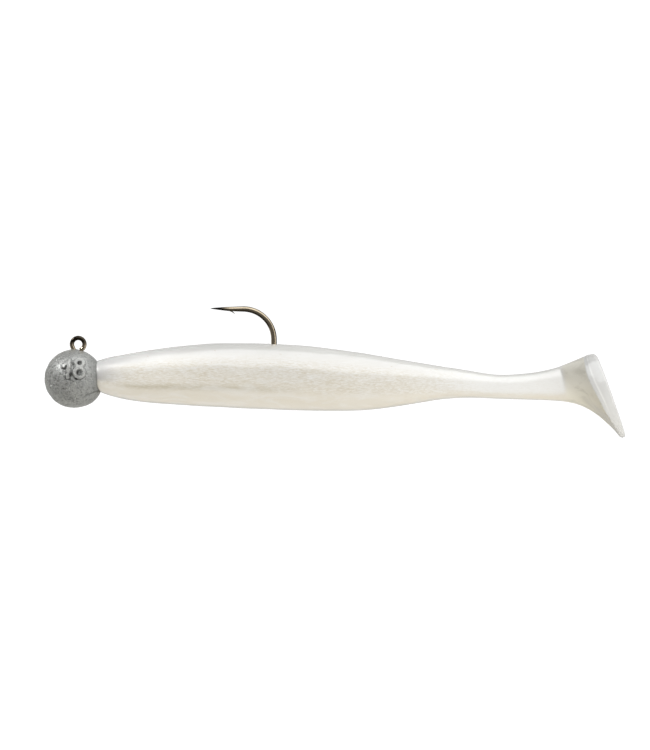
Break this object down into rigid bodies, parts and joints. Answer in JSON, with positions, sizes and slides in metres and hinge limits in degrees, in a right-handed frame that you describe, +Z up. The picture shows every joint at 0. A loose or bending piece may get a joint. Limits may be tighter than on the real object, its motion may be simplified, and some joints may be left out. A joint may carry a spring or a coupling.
{
  "type": "rigged swimbait",
  "caption": "Soft paddle-tail fish body threaded on a round cast jig head with a fixed upturned hook; the body flexes sideways along its length and the paddle kicks.",
  "frame": {"origin": "centre of the hook's line eye, in the lure's plane of symmetry", "axes": "+X from the head towards the tail, +Y across the body and square to the hook's plane, +Z up as it swims, on the hook point's side"},
  "size_m": [0.1449, 0.0158, 0.0326],
  "materials": {
    "cast_lead": "dull as cast",
    "dark_nickel": "dark bronze nickel",
    "pearl_pvc": "gloss pearl"
  },
  "bodies": {
    "jig_and_front": {"lead_head": "cast_lead", "hook": "dark_nickel", "front_body": "pearl_pvc"},
    "mid_body": {"mid_body": "pearl_pvc"},
    "rear_body": {"rear_body": "pearl_pvc"},
    "tail_stalk": {"tail_stalk": "pearl_pvc"},
    "tail_paddle": {"tail_paddle": "pearl_pvc"}
  },
  "joints": [
    {"name": "body_bend", "type": "hinge", "parent": "jig_and_front", "child": "mid_body", "pos_m": [0.068, 0, -0.0092], "axis": [0, 0, 1], "range_deg": [-8, 8], "stiffness_Nm_per_rad": 0.014},
    {"name": "rear_bend", "type": "hinge", "parent": "mid_body", "child": "rear_body", "pos_m": [0.088, 0, -0.0096], "axis": [0, 0, 1], "range_deg": [-14, 14], "stiffness_Nm_per_rad": 0.0044},
    {"name": "stalk_bend", "type": "hinge", "parent": "rear_body", "child": "tail_stalk", "pos_m": [0.104, 0, -0.0105], "axis": [0, 0, 1], "range_deg": [-20, 20], "stiffness_Nm_per_rad": 0.0011},
    {"name": "paddle_kick", "type": "hinge", "parent": "tail_stalk", "child": "tail_paddle", "pos_m": [0.117, 0, -0.0103], "axis": [0, 0, 1], "range_deg": [-28, 28], "stiffness_Nm_per_rad": 0.0012}
  ]
}
